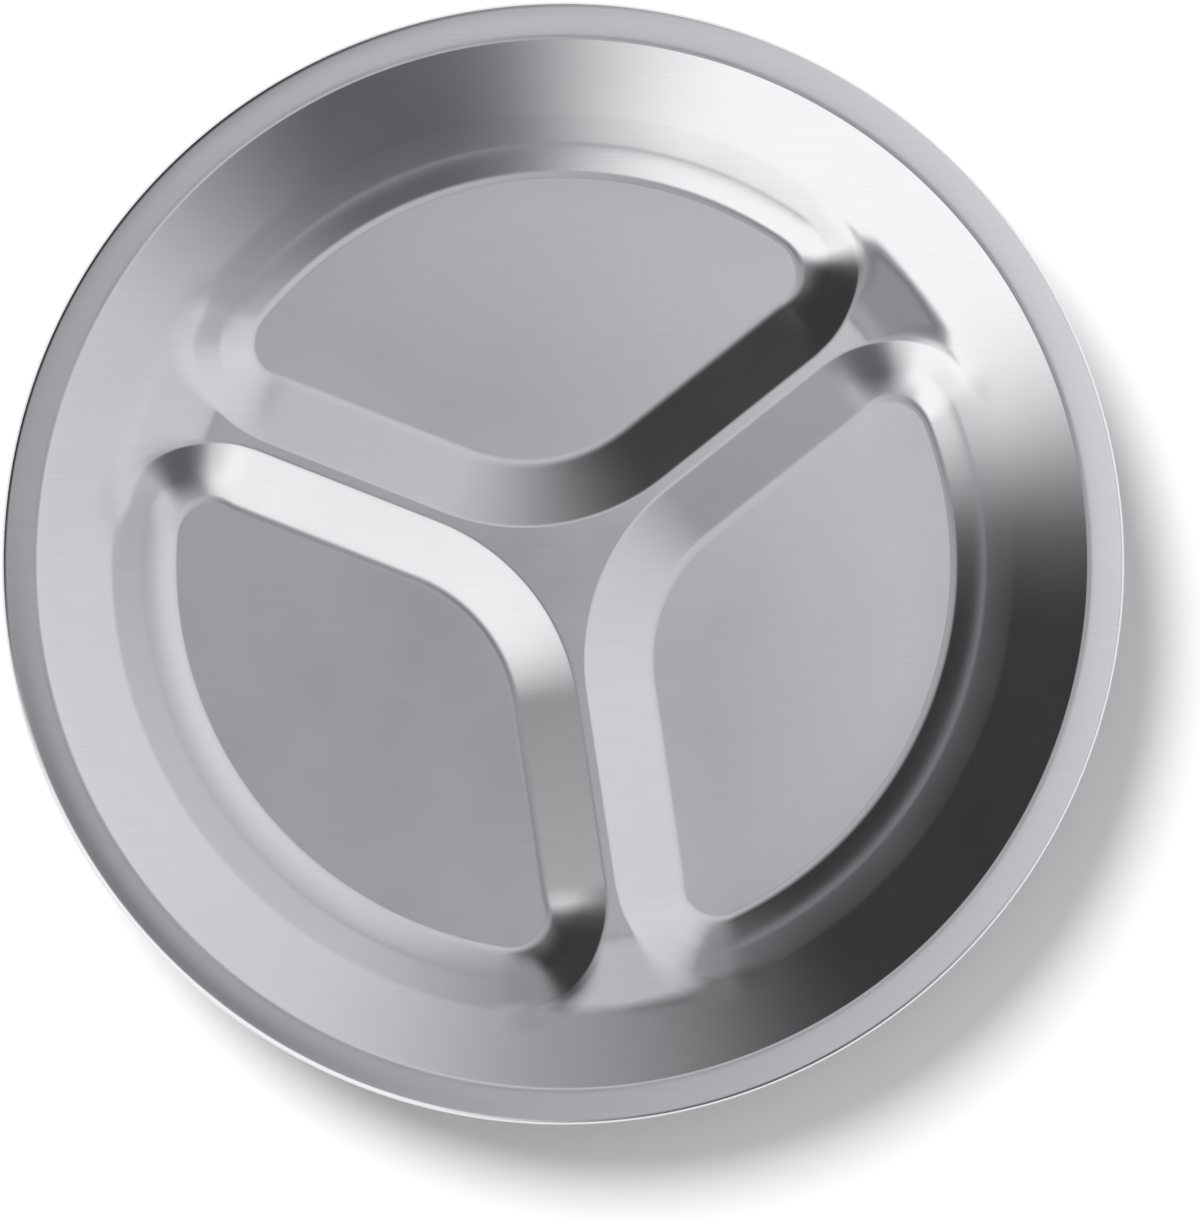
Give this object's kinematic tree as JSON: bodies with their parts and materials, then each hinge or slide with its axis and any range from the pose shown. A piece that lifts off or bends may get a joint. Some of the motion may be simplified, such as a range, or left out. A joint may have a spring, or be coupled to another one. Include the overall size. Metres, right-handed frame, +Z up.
{
  "type": "divided compartment plate",
  "caption": "Round pressed sheet-steel dinner plate: a shallow bowl with a flat rim and rolled edge, its base divided into equal compartments by low sloping dividers.",
  "frame": {"origin": "middle of the plate, on the plane that it stands on (the underside of the compartment floors)", "axes": "+Z up, out of the open side of the plate; +X and +Y as the picture's right and up when it is seen from straight above"},
  "size_m": [0.24, 0.24, 0.0235],
  "materials": {
    "satin_stainless": "satin stainless steel, bright where it is pressed, with fine faint rolling lines"
  },
  "bodies": {
    "root": {"pressed_plate": "satin_stainless"}
  },
  "joints": []
}
